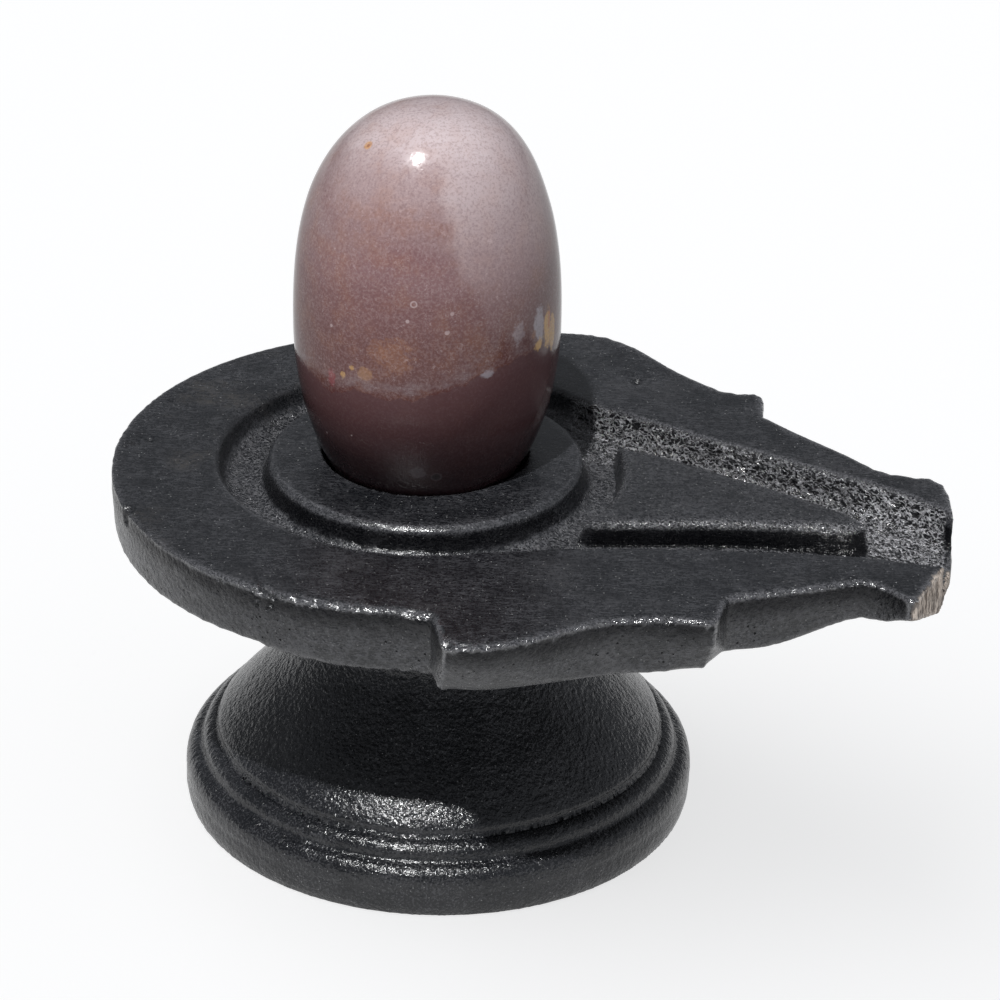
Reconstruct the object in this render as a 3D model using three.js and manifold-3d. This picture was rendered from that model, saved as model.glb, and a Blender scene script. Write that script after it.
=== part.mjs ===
import * as THREE from 'three';
import { mergeVertices } from 'three/addons/utils/BufferGeometryUtils.js';
import Module from 'manifold-3d';

// Shiva lingam stone standing in its carved black stone base.
// Millimetres, +Z up. The origin is the centre of the foot's underside and
// +X runs along the water spout.

const wasm = await Module();
wasm.setup();

// pedestal
const footRadius = 82.5;
const lipRadius = 73.4; // where the hollow cone leaves the foot moulding
const lipHeight = 24.2;
const waistRadius = 39.5;
const waistHeight = 68;
const flareRadius = 68; // where the stem runs out under the plate
const handWander = 0.35; // how far the hand-cut stem strays from round

// plate with its spout
const plateTop = 120.2;
const plateUnderside = 100.8;
const plateEdgeRound = 1.2;
const rimCentre = new THREE.Vector2(-5.6, -6.7);
const rimRadius = 97;
const rimTaper = 1.1; // the rim draws in this much towards its lower edge
const spoutLift = 3; // how far the underside climbs towards the spout's end
const nearLift = 3.8; // how much more it climbs along the near side of the spout
const cornerLift = 5; // and once more under the near wing's tip
const thickEdge = 2.2; // extra depth of the rim beside the near step

// water ring and channel
const ringCentre = new THREE.Vector2(-5.1, -1.6);
const ringRadius = 65.5;
const bossRadius = 49.9;
const ringDepth = 9.2; // at the closed end of the ring
const mouthDepth = 11.2; // at the spout's mouth
const wallSlope = 3.6; // each wall leans this far between its top edge and the floor
const edgeWear = 1.3; // worn chamfer along the boss, the island and the ring
const islandRadius = 64.3;
const islandDrop = 2.4; // the island lies this much below the plate
const prowFlare = 4; // how far the foot of the island's prow spreads to the near side

// egg-shaped stone
const stoneCentre = new THREE.Vector2(-6.4, 2.2);
const stoneRadius = 41.8;
const stoneGirthHeight = 166;
const stoneAbove = 71.4; // girth to the crown
const stoneBelow = 69.4; // girth to the rounded lower end
const seatHeight = 97.4; // flat spot of the stone and floor of the socket

const blackStone = new THREE.MeshStandardMaterial({ color: 0x1d1e20, roughness: 0.45, metalness: 0 });
const riverStone = new THREE.MeshStandardMaterial({ color: 0x80666a, roughness: 0.14, metalness: 0 });

// ---------- helpers ----------

function at(x, y) {
  return new THREE.Vector2(x, y);
}

function smoothLine(points, steps) {
  return new THREE.SplineCurve(points).getSpacedPoints(steps);
}

function arcLine(centre, radius, fromDegrees, toDegrees, steps) {
  const line = [];
  for (let i = 0; i <= steps; i += 1) {
    const turn = THREE.MathUtils.degToRad(fromDegrees + (toDegrees - fromDegrees) * i / steps);
    line.push(at(centre.x + radius * Math.cos(turn), centre.y + radius * Math.sin(turn)));
  }
  return line;
}

function moveVertices(geometry, change) {
  const position = geometry.attributes.position;
  const vertex = new THREE.Vector3();
  for (let i = 0; i < position.count; i += 1) {
    vertex.fromBufferAttribute(position, i);
    change(vertex);
    position.setXYZ(i, vertex.x, vertex.y, vertex.z);
  }
  return geometry;
}

function turned(profile, segments, centre) {
  const geometry = new THREE.LatheGeometry(profile, segments);
  geometry.rotateX(Math.PI / 2);
  geometry.translate(centre.x, centre.y, 0);
  return geometry;
}

function solidOf(geometry) {
  const bare = geometry.clone();
  bare.deleteAttribute('normal');
  bare.deleteAttribute('uv');
  const merged = mergeVertices(bare, 1e-4);
  const vertProperties = Float32Array.from(merged.attributes.position.array);
  const triVerts = Uint32Array.from(merged.index.array);
  return new wasm.Manifold(new wasm.Mesh({ numProp: 3, vertProperties, triVerts }));
}

function meshOf(solid, name, material) {
  const data = solid.getMesh();
  const geometry = new THREE.BufferGeometry();
  geometry.setAttribute('position', new THREE.BufferAttribute(Float32Array.from(data.vertProperties), 3));
  geometry.setIndex(new THREE.BufferAttribute(Uint32Array.from(data.triVerts), 1));
  geometry.computeVertexNormals();
  const mesh = new THREE.Mesh(geometry, material);
  mesh.name = name;
  return mesh;
}

function easeBetween(value, low, high) {
  return THREE.MathUtils.smoothstep(value, low, high);
}

// ---------- pedestal: foot, moulding, hollow cone, waist and flare ----------

function makePedestal() {
  const lower = new THREE.SplineCurve([
    at(lipRadius, lipHeight),
    at(62.3, 36.4),
    at(50.6, 48.5),
    at(42.4, 59.5),
    at(waistRadius, waistHeight),
    at(42.5, 78),
    at(52, 89.5),
    at(flareRadius, plateUnderside + 0.6),
  ]);
  const profile = [
    at(0, 0),
    at(footRadius - 0.8, 0),
    at(footRadius, 0.9),
    at(footRadius + 0.5, 6),
    at(footRadius - 0.2, 11.5),
    at(footRadius - 1.5, 14.6),
    at(footRadius - 3.6, 16.9),
    at(footRadius - 5.6, 17.9),
    at(footRadius - 6.6, 19.8),
    at(footRadius - 8.4, 21.3),
    at(lipRadius - 0.5, 22.2),
    ...lower.getSpacedPoints(14),
    at(flareRadius, plateUnderside + 5),
    at(0, plateUnderside + 5),
  ];
  const geometry = turned(profile, 60, at(0, 0));
  moveVertices(geometry, (vertex) => {
    const turn = Math.atan2(vertex.y, vertex.x);
    const wander = Math.sin(3 * turn + 0.8) + 0.7 * Math.sin(5 * turn + vertex.z / 9);
    const size = 1 + handWander * wander * easeBetween(vertex.z, 2, 30) / lipRadius;
    vertex.x *= size;
    vertex.y *= size;
  });
  return solidOf(geometry);
}

// ---------- plate: round at one end, two stepped wings and the spout at the other ----------

function plateOutline() {
  const nearWing = smoothLine([
    at(39.6, -116.2), at(47.1, -114.4), at(54, -109.6), at(61, -103.8), at(71.8, -92.8),
    at(80.8, -85.8), at(94.3, -80.4), at(106.6, -78.2),
  ], 14);
  const nearTaper = smoothLine([
    at(108.3, -63), at(112.5, -59.4), at(122.2, -53.7), at(135.5, -44.9), at(144.4, -39),
    at(151.3, -40.8), at(159.8, -46.2),
  ], 14);
  const farTaper = smoothLine([
    at(155, 31.6), at(151.2, 34.6), at(141.4, 33.9), at(133, 35.3), at(120.3, 43.2),
    at(101.5, 53.6), at(90.3, 60.7),
  ], 12);
  const farWing = smoothLine([
    at(83.4, 76.1), at(74, 74.9), at(64, 79.3), at(54.3, 84.9), at(45, 91.9), at(36.3, 98.3),
    at(25.3, 102.7), at(17.5, 102.6), at(9, 100.8),
  ], 14);
  const points = [
    ...arcLine(rimCentre, rimRadius, 86.1, 283, 46),
    at(28.4, -100.9),
    at(34.6, -113.6),
    at(36.6, -115.8),
    ...nearWing,
    at(109.1, -76.8),
    ...nearTaper,
    at(162.4, -45.8),
    at(165.8, -22.6),
    ...smoothLine([at(166.2, -17), at(166.1, -11), at(164.4, 1), at(161.8, 13), at(158.2, 25)], 6),
    ...farTaper,
    at(87.6, 71.5),
    at(86.2, 74.5),
    ...farWing,
    at(6.9, 99.3),
    at(1.9, 90.4),
  ];
  return points;
}

// Places along the lower edge where the corner is rounded off by wear.
const lowerWear = [
  { x: 40, y: -117, reach: 17, depth: 6 },
  { x: 56, y: -110, reach: 26, depth: 5 },
  { x: 109, y: -78, reach: 16, depth: 6 },
  { x: 168, y: -13, reach: 10, depth: 1.2 },
  { x: 86, y: 74, reach: 16, depth: 4 },
  { x: 8, y: 99, reach: 20, depth: 4 },
];

function makePlate() {
  const thickness = plateTop - plateUnderside;
  const geometry = new THREE.ExtrudeGeometry(new THREE.Shape(plateOutline()), {
    depth: thickness - 2 * plateEdgeRound,
    steps: 2,
    bevelEnabled: true,
    bevelThickness: plateEdgeRound,
    bevelSize: plateEdgeRound,
    bevelOffset: -plateEdgeRound,
    bevelSegments: 2,
  });
  geometry.translate(0, 0, plateUnderside + plateEdgeRound);
  moveVertices(geometry, (vertex) => {
    const down = (plateTop - vertex.z) / thickness;
    const out = easeBetween(vertex.x, 112, 160);
    const outNear = easeBetween(vertex.x, 117, 143) * easeBetween(-vertex.y, 24, 38);
    const corner = easeBetween(vertex.x, 148, 161) * easeBetween(-vertex.y, 34, 46);
    vertex.z += (spoutLift * out + nearLift * outNear + cornerLift * corner) * down;
    for (const spot of lowerWear) {
      const away = Math.hypot(vertex.x - spot.x, vertex.y - spot.y);
      const wear = spot.depth * Math.max(0, 1 - away / spot.reach) * down * down;
      const inward = at(spot.x - rimCentre.x, spot.y - rimCentre.y).normalize();
      vertex.x -= inward.x * wear;
      vertex.y -= inward.y * wear;
    }
    const besideStep = Math.hypot((vertex.x - 8) / 34, (vertex.y + 100) / 12);
    vertex.z -= thickEdge * down * Math.max(0, 1 - besideStep * besideStep);
    if (vertex.x < -20) {
      vertex.x += rimTaper * down;
    }
  });
  return solidOf(geometry);
}

// ---------- water ring and channel, with the boss and the island left standing ----------

function recessOutline() {
  const nearEdge = smoothLine([
    at(30.5, -56.7), at(46.5, -49.6), at(57.8, -44.8), at(80.9, -37.3), at(110.3, -29.4),
    at(136.9, -23.2), at(152, -21.6), at(172, -21.2),
  ], 12);
  const farEdge = smoothLine([
    at(166, 9.6), at(158.9, 13.8), at(143.1, 21.4), at(119.5, 27.6), at(95.2, 33.8),
    at(74.3, 38.9), at(45.5, 47.4), at(34, 51.5),
  ], 12);
  const around = arcLine(ringCentre, ringRadius, 57.5, 298.5, 40);
  return [...nearEdge, at(178, -8), ...farEdge, ...around];
}

function floorDepth(x) {
  return THREE.MathUtils.mapLinear(x, -70, 166, ringDepth, mouthDepth);
}

function makeRecess() {
  const shape = new THREE.Shape(recessOutline());
  shape.holes.push(new THREE.Path(arcLine(ringCentre, bossRadius, 0, 360, 56).slice(0, -1)));
  const cut = new THREE.ExtrudeGeometry(shape, {
    depth: 6,
    bevelEnabled: true,
    bevelThickness: ringDepth,
    bevelSize: wallSlope,
    bevelOffset: -wallSlope,
    bevelSegments: 3,
  });
  cut.translate(0, 0, plateTop);
  moveVertices(cut, (vertex) => {
    if (vertex.z < plateTop) {
      vertex.z = plateTop + (vertex.z - plateTop) * floorDepth(vertex.x) / ringDepth;
    }
  });
  const worn = new THREE.ExtrudeGeometry(shape, {
    depth: 1,
    bevelEnabled: true,
    bevelThickness: edgeWear,
    bevelSize: edgeWear,
    bevelSegments: 1,
  });
  worn.translate(0, 0, plateTop + 0.05);
  return solidOf(cut).add(solidOf(worn));
}

function makeIsland() {
  const heel = arcLine(ringCentre, islandRadius, -20, 27.2, 8);
  const outline = [
    ...heel, at(61.4, 27.4), at(78.6, 23.2), at(99.4, 16.8), at(115, 12), at(127.6, 7.6),
    at(131.6, 5.5), at(133.5, 3.2), at(131.6, 1.4), at(122.7, -1), at(105, -6.2), at(87, -11.6),
    at(69.4, -17.6),
  ];
  const height = mouthDepth - islandDrop;
  const geometry = new THREE.ExtrudeGeometry(new THREE.Shape(outline), {
    depth: 1,
    bevelEnabled: true,
    bevelThickness: height,
    bevelSize: wallSlope,
    bevelSegments: 3,
  });
  moveVertices(geometry, (vertex) => {
    vertex.z = vertex.z > 0 ? vertex.z - 1 : vertex.z * 0.15 - 1;
    const down = THREE.MathUtils.clamp(1 - vertex.z / height, 0, 1);
    vertex.x += prowFlare * 0.5 * down * easeBetween(vertex.x, 126, 134);
    vertex.y -= prowFlare * down * easeBetween(vertex.x, 112, 134);
  });
  geometry.translate(0, 0, plateTop - mouthDepth);
  return solidOf(geometry);
}

// ---------- socket, and the marks of use ----------

function makeSocket() {
  return solidOf(turned([
    at(0, seatHeight), at(21, seatHeight), at(26, 99.6), at(30, 106), at(31.8, 113.5),
    at(32.4, plateTop - 1), at(33.2, plateTop), at(33.2, plateTop + 4), at(0, plateTop + 4),
  ], 48, stoneCentre));
}

// Small hollows: [x, y, height of the centre, radius].
const dents = [
  [-24.6, -102.6, 121.6, 3.6],
  [-13, -104.4, 121.8, 3.2],
  [6, -104, 121.8, 3],
  [37.4, -116.4, 121.4, 3.2],
  [48.7, -115.6, 121.8, 3.4],
  [-95, -18, 122.6, 3.4],
  [-97, -26, 122.4, 3.2],
  [44.5, 72, 123, 4],
  [88.5, 68, 115, 3.2],
];

function chip(solid, x, y, z, radius) {
  const ball = new THREE.IcosahedronGeometry(radius, 1);
  ball.translate(x, y, z);
  return solid.subtract(solidOf(ball));
}

// The near corner of the spout is broken off: scalloped scars run down the break.
function breakCorner(solid) {
  let result = solid;
  for (let i = 0; i < 6; i += 1) {
    const along = (i + 0.3) / 6;
    const scar = new THREE.CylinderGeometry(2.2 + 0.5 * (i % 2), 2.6 - 0.4 * (i % 3), 40, 7);
    scar.rotateX(Math.PI / 2 - 0.16);
    scar.translate(164.9 + 3.4 * along + 0.5 * (i % 2), -42 + 22 * along, plateTop - 10);
    result = result.subtract(solidOf(scar));
  }
  return result;
}

function makeBase() {
  let base = makePedestal().add(makePlate()).subtract(makeRecess()).add(makeIsland());
  base = base.subtract(makeSocket());
  for (const [x, y, z, radius] of dents) {
    base = chip(base, x, y, z, radius);
  }
  return breakCorner(base);
}

// ---------- the egg-shaped river stone ----------

function makeStone() {
  const profile = [at(0, -stoneBelow)];
  const rings = 22;
  for (let i = 1; i < rings; i += 1) {
    const u = Math.sin(Math.PI * (i / rings - 0.5));
    const above = u >= 0;
    const bluntness = above ? 2.46 : 2.03;
    const r = stoneRadius * (1 - Math.abs(u) ** bluntness) ** (1 / bluntness);
    profile.push(at(r, u * (above ? stoneAbove : stoneBelow)));
  }
  profile.push(at(0, stoneAbove));
  const geometry = turned(profile, 38, at(0, 0));
  moveVertices(geometry, (vertex) => {
    const turn = Math.atan2(vertex.y, vertex.x);
    const swell = 1 + 0.006 * Math.sin(2 * turn + 0.6) + 0.004 * Math.cos(3 * turn + vertex.z / 30);
    vertex.x *= swell;
    vertex.y *= swell;
    const crown = easeBetween(vertex.z, 40, stoneAbove);
    vertex.x += 1.3 * crown;
    vertex.y += 0.4 * crown;
    vertex.z = Math.max(vertex.z, seatHeight - stoneGirthHeight);
  });
  geometry.translate(stoneCentre.x, stoneCentre.y, stoneGirthHeight);
  return solidOf(geometry);
}

const lingamSet = new THREE.Group();
lingamSet.add(meshOf(makeBase(), 'yoni_base', blackStone));
lingamSet.add(meshOf(makeStone(), 'lingam_stone', riverStone));

export default lingamSet;
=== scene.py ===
import math
import bpy
import bmesh
import numpy as np
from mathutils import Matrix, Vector, noise


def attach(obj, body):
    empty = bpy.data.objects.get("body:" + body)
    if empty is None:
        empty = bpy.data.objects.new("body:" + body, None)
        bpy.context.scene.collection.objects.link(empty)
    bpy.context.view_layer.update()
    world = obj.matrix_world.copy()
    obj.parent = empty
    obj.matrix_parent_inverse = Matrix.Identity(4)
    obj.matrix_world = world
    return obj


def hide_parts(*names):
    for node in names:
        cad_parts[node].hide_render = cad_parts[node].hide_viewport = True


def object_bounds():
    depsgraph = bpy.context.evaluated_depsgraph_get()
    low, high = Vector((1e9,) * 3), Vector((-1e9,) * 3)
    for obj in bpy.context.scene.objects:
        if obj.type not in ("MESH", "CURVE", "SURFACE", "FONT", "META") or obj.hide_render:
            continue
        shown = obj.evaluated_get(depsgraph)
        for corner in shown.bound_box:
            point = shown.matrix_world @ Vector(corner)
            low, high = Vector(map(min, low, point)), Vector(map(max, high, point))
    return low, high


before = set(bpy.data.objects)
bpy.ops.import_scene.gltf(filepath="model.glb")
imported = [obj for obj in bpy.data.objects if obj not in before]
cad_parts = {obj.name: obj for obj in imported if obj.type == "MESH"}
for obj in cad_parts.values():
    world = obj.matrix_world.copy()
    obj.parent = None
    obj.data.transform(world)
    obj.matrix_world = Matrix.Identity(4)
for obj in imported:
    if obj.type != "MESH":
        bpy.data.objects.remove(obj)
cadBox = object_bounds()
scene = bpy.context.scene
print("frame loaded:", sorted(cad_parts))

studio = {
    "cameraPlace": (0.33614, -1.09946, 0.70175),
    "cameraTurn": (1.0915385, -0.0193604, 0.2906743),  # radians, X then Y then Z
    "lens": 146.35,
    # three suns: strength, then in degrees the azimuth from +X, the elevation and the width
    "keyLight": (3.7, 266.0, 61.3, 1.6),
    "crownLight": (5.0, 246.0, 70.5, 0.5),
    "softLight": (1.4, 190.0, 52.0, 80.0),
    "skyLow": 0.22,
    "skyHigh": 0.40,
    "skyColour": (0.915, 0.955, 1.03, 1.0),
    "floorColour": (0.50, 0.50, 0.50, 1.0),
    "floorGlow": 0.70,
    "floorReach": 40.0,  # metres to each side
}


def addCamera():
    data = bpy.data.cameras.new("studioCamera")
    data.lens = studio["lens"]
    data.sensor_width = 36.0
    data.clip_start = 0.05
    data.clip_end = 50.0
    camera = bpy.data.objects.new("studioCamera", data)
    camera.location = studio["cameraPlace"]
    camera.rotation_euler = studio["cameraTurn"]
    scene.collection.objects.link(camera)
    scene.camera = camera


def addSun(name, strength, azimuth, elevation, width):
    data = bpy.data.lights.new(name, "SUN")
    data.energy = strength
    data.angle = math.radians(width)
    light = bpy.data.objects.new(name, data)
    a, e = math.radians(azimuth), math.radians(elevation)
    towards = Vector((math.cos(a) * math.cos(e), math.sin(a) * math.cos(e), math.sin(e)))
    light.rotation_euler = towards.to_track_quat("Z", "Y").to_euler()
    light.location = towards * 2.0
    scene.collection.objects.link(light)
    return light


def addSky():
    # an even sky, brighter towards +X
    world = bpy.data.worlds.new("studioSky")
    world.use_nodes = True
    scene.world = world
    nodes, links = world.node_tree.nodes, world.node_tree.links
    background = nodes["Background"]
    place = nodes.new("ShaderNodeTexCoord")
    split = nodes.new("ShaderNodeSeparateXYZ")
    spread = nodes.new("ShaderNodeMapRange")
    spread.interpolation_type = "SMOOTHSTEP"
    spread.inputs["From Min"].default_value = 0.35
    spread.inputs["From Max"].default_value = 0.75
    spread.inputs["To Min"].default_value = studio["skyLow"]
    spread.inputs["To Max"].default_value = studio["skyHigh"]
    links.new(place.outputs["Generated"], split.inputs["Vector"])
    links.new(split.outputs["X"], spread.inputs["Value"])
    links.new(spread.outputs["Result"], background.inputs["Strength"])
    background.inputs["Color"].default_value = studio["skyColour"]


def addFloor():
    bm = bmesh.new()
    bmesh.ops.create_grid(bm, x_segments=1, y_segments=1, size=studio["floorReach"])
    mesh = bpy.data.meshes.new("paleFloor")
    bm.to_mesh(mesh)
    bm.free()
    floor = bpy.data.objects.new("paleFloor", mesh)
    scene.collection.objects.link(floor)
    material = bpy.data.materials.new("palePaper")
    material.use_nodes = True
    shader = material.node_tree.nodes["Principled BSDF"]
    shader.inputs["Base Color"].default_value = studio["floorColour"]
    shader.inputs["Roughness"].default_value = 0.9
    shader.inputs["Specular IOR Level"].default_value = 0.0
    shader.inputs["Emission Color"].default_value = (1.0, 1.0, 1.0, 1.0)
    shader.inputs["Emission Strength"].default_value = studio["floorGlow"]
    mesh.materials.append(material)
    return floor


def lightOnly(light, pieces, name):
    # the light reaches these pieces and nothing else
    lit = bpy.data.collections.new(name)
    for piece in pieces:
        lit.objects.link(piece)
    light.light_linking.receiver_collection = lit


addCamera()
addSky()
floor = addFloor()
keyLight = addSun("keyLight", *studio["keyLight"])
crownLight = addSun("crownLight", *studio["crownLight"])
softLight = addSun("softLight", *studio["softLight"])
scene.view_settings.view_transform = "Standard"
print("camera, light and floor made")


def ease(values, low, high):
    # 0 up to low, 1 from high on, smooth between them
    t = np.clip((values - low) / (high - low), 0.0, 1.0)
    return t * t * (3.0 - 2.0 * t)


def grain(points, size, shift=0.0):
    # smooth noise from -1 to 1, size in millimetres
    placed = points / np.asarray(size, float) + shift
    return np.array([noise.noise(p) for p in placed.tolist()])


def turnedFrame(points, degrees):
    # the same points with X along this direction on the plate
    c, s = math.cos(math.radians(degrees)), math.sin(math.radians(degrees))
    return points @ np.array([[c, -s, 0.0], [s, c, 0.0], [0.0, 0.0, 1.0]])


def pointsOf(mesh):
    flat = np.empty(len(mesh.vertices) * 3)
    mesh.vertices.foreach_get("co", flat)
    return flat.reshape(-1, 3) * 1000.0


def movePoints(mesh, points):
    mesh.vertices.foreach_set("co", (points / 1000.0).ravel())
    mesh.update()


def normalsOf(mesh):
    flat = np.empty(len(mesh.vertices) * 3)
    mesh.vertex_normals.foreach_get("vector", flat)
    return flat.reshape(-1, 3)


def edgesOf(mesh):
    flat = np.empty(len(mesh.edges) * 2, int)
    mesh.edges.foreach_get("vertices", flat)
    return flat.reshape(-1, 2)


def neighbourMean(values, edges, counts):
    # for each point, the mean value of the points it shares an edge with
    total = np.bincount(edges[:, 0], values[edges[:, 1]], len(counts))
    total += np.bincount(edges[:, 1], values[edges[:, 0]], len(counts))
    return total / counts


def pullToNeighbours(points, edges, counts):
    return np.stack([neighbourMean(points[:, k], edges, counts) for k in range(3)], 1) - points


def finished(obj, name):
    # the object's modifiers applied to a mesh of its own
    shaped = obj.evaluated_get(bpy.context.evaluated_depsgraph_get())
    mesh = bpy.data.meshes.new_from_object(shaped)
    mesh.name = name
    piece = bpy.data.objects.new(name, mesh)
    scene.collection.objects.link(piece)
    bpy.data.objects.remove(obj)
    return piece


def insideBox(points):
    # the points kept within the CAD object's box
    return np.clip(points, np.array(cadBox[0]) * 1000, np.array(cadBox[1]) * 1000)


def storeMask(mesh, name, values):
    layer = mesh.attributes.new(name, "FLOAT", "POINT")
    layer.data.foreach_set("value", np.clip(values, 0.0, 1.0).astype(np.float32))


riverStone = {
    "subdivisions": 7,
    "centre": (-6.4, 2.2),  # millimetres, as all sizes here
    "girthHeight": 166.0,  # where the stone is thickest
    "radius": 41.75,
    "above": 71.3,  # from the girth to the crown
    "below": 69.4,
    "bluntAbove": 2.46,  # 2 is an ellipse, more is blunter
    "bluntBelow": 2.03,
    "topLean": (1.3, 0.4),  # how far the crown stands off the centre, x and y
    "seatHeight": 97.4,  # of the flat spot it rests on
}


def stoneReach(z):
    # the river stone's radius at these heights
    s = riverStone
    u = (z - s["girthHeight"]) / np.where(z > s["girthHeight"], s["above"], s["below"])
    blunt = np.where(z > s["girthHeight"], s["bluntAbove"], s["bluntBelow"])
    return s["radius"] * np.maximum(1 - np.minimum(np.abs(u), 1) ** blunt, 0) ** (1 / blunt)


carvedBase = {
    "evenMesh": 0.00054,  # metres between points before thinning
    "triangles": 196000,
    "relaxReach": 2.6,  # millimetres over which facets are smoothed out
    "flatFoot": 0.4,  # nothing below this height moves, so the underside stays flat
    "plateTop": 120.2,
    "ringCentre": (-5.1, -1.6),
    "ringReach": 67.4,  # the ring's outer wall with its worn edge
    "bossCentre": (-6.0, 2.0),
    "islandTop": 117.8,
    "chipCluster": (-23.8, -100.7),  # a patch of small breaks on the near edge
    "farScar": (87.3, 65.2, 114.5),  # bare stone at the far wing's step
    "chipDepth": 0.75,  # millimetres, along the top edge of the plate
    "chiselDepth": 0.62,
    "splinterDepth": 0.45,
    "highestRidge": 0.4,  # no mark stands further proud than this
    "dents": [  # x, y, radius, depth
        (-95.2, -23.0, 2.6, 0.8),
        (-91.6, -19.4, 2.3, 1.0),
        (-95.0, 8.0, 2.6, 0.5),
        (-80.6, -66.6, 3.0, 1.0),
        (44.5, 72.0, 2.6, 0.8),
    ],
}

sideways = (0.956, 0.292)  # across the camera's view, x and y on the plate

# lines on the plate in millimetres, x then y: the channel's two banks and the island's far edge
nearBank = ([25, 30.5, 46.5, 57.8, 80.9, 110.3, 136.9, 152, 172],
            [-58.7, -56.7, -49.6, -44.8, -37.3, -29.4, -23.2, -21.6, -21.2])
farBank = ([25, 34, 45.5, 74.3, 95.2, 119.5, 143.1, 158.9, 172],
           [54, 51.5, 47.4, 38.9, 33.8, 27.6, 21.4, 13.8, 8])
islandFar = ([56, 61.4, 78.6, 99.4, 115, 127.6, 131.6, 136], [29, 27.4, 23.2, 16.8, 12, 7.6, 5.5, 2])

# section of the foot's moulding from the side wall up to the lip: radius, height
moulding = np.array([
    (82.9, 7.0), (82.65, 10.5), (82.45, 12.3), (82.1, 13.6), (81.5, 14.7), (80.7, 15.6),
    (79.8, 16.25), (78.9, 16.6), (78.1, 16.9), (77.5, 17.4), (77.2, 18.2), (77.05, 19.1),
    (76.75, 20.0), (76.2, 20.8), (75.5, 21.5), (74.6, 22.1), (73.6, 22.4), (72.7, 22.55),
    (72.1, 23.0), (71.9, 23.8), (71.95, 24.7), (71.8, 25.6), (71.2, 26.4), (70.3, 27.4),
])


def distance(p, centre):
    # how far each point is from this place, seen from above
    return np.hypot(p[:, 0] - centre[0], p[:, 1] - centre[1])


def recessMask(p):
    # 1 inside the water ring and the channel, walls included
    x, y, z = p.T
    inRing = distance(p, carvedBase["ringCentre"]) < carvedBase["ringReach"]
    inArms = (x > 28) & (y > np.interp(x, *nearBank) - 1.9) & (y < np.interp(x, *farBank) + 1.9)
    return (inRing | inArms) & (z > 106) & (z < 122)


def spoutLip(p):
    # 1 on the last two millimetres of the spout, which are rubbed smooth
    x, y, z = p.T
    rows = np.arange(-40.0, 41.0, 1.0)
    end = np.full(len(rows), -1e9)
    np.maximum.at(end, np.clip(np.round(y).astype(int) + 40, 0, 80), x)
    return 1 - ease(np.interp(y, rows, end) - x, 1.8, 3.4)


def roughCutMask(p):
    # the rough-cut far arm and the mouth of the spout, as far as the island's prow
    x, y, z = p.T
    pastProw = ease(x - 137.4 + 0.55 * y, -0.8, 0.8)
    beyondIsland = ease(y - np.interp(x, *islandFar), -0.8, 1.0) * ease(x, 25, 31)
    lowered = ease(carvedBase["plateTop"] - z, 0.4, 1.6)
    return np.maximum(pastProw, beyondIsland) * recessMask(p) * lowered * (1 - spoutLip(p))


def breakMask(p, n):
    # the broken near corner of the spout, wider towards its foot
    x, y, z = p.T
    ragged = 1.1 * grain(p, 3.4, 4.0) + 0.6 * grain(p, 1.3, 2.0)
    below = carvedBase["plateTop"] - z
    reach = 22.6 - np.clip(3.4 * (below - 0.6), 0, 19)
    faces = ease(n[:, 0] + 0.1 * ragged, 0.12, 0.42)
    return faces * (x > 160.2) * ease(-y - reach + ragged, -0.5, 0.6) * ease(below + 0.5 * ragged, 0.2, 0.9)


def evenBase():
    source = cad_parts["yoni_base"]
    bm = bmesh.new()
    bm.from_mesh(source.data)
    bmesh.ops.remove_doubles(bm, verts=bm.verts, dist=1e-6)
    mesh = bpy.data.meshes.new("evenBase")
    bm.to_mesh(mesh)
    bm.free()
    merged = bpy.data.objects.new("evenBase", mesh)
    scene.collection.objects.link(merged)
    remesh = merged.modifiers.new("evenMesh", "REMESH")
    remesh.mode = "VOXEL"
    remesh.voxel_size = carvedBase["evenMesh"]
    remesh.use_smooth_shade = True
    return finished(merged, "evenBase")


def relaxed(p, n, edges, counts):
    # facets melt into curves while the true edges hold
    step = carvedBase["evenMesh"] * 1000.0
    bend = (pullToNeighbours(p, edges, counts) * n).sum(1) / step
    for _ in range(2):
        bend = 0.5 * bend + 0.5 * neighbourMean(bend, edges, counts)
    loose = 1.0 - ease(np.abs(bend), 0.03, 0.07)
    for _ in range(2):
        loose = np.minimum(loose, neighbourMean(loose, edges, counts))
    loose[p[:, 2] < carvedBase["flatFoot"]] = 0.0
    rounds = int((carvedBase["relaxReach"] / step) ** 2 / 0.42)
    for _ in range(rounds):
        p = p + pullToNeighbours(p, edges, counts) * (0.85 * loose)[:, None]
    return p, bend


def smoothed(p, edges, counts, rounds, amount=1.0):
    # takes the small steps of the even mesh away and keeps the bulk
    free = ((p[:, 2] > carvedBase["flatFoot"]) * amount)[:, None]
    for _ in range(rounds):
        p = p + 0.50 * pullToNeighbours(p, edges, counts) * free
        p = p - 0.53 * pullToNeighbours(p, edges, counts) * free
    return p


def closerSocket(p):
    # the socket's wall follows the river stone with a small gap, widest at the two sides
    x, y, z = p.T
    centre = riverStone["centre"]
    dx, dy = x - centre[0], y - centre[1]
    r = np.maximum(np.hypot(dx, dy), 1e-6)
    wall = np.interp(z, [106, 113.5, 119.2, 120.2], [30, 31.8, 32.4, 33.2])
    gap = 0.45 + 0.8 * ((sideways[0] * dx + sideways[1] * dy) / r) ** 2
    shift = (wall - stoneReach(z) - gap) * ease(z, 104.5, 109) * (1 - ease(r, wall + 0.3, wall + 8))
    p = p.copy()
    p[:, 0] -= shift * dx / r
    p[:, 1] -= shift * dy / r
    return p


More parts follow.
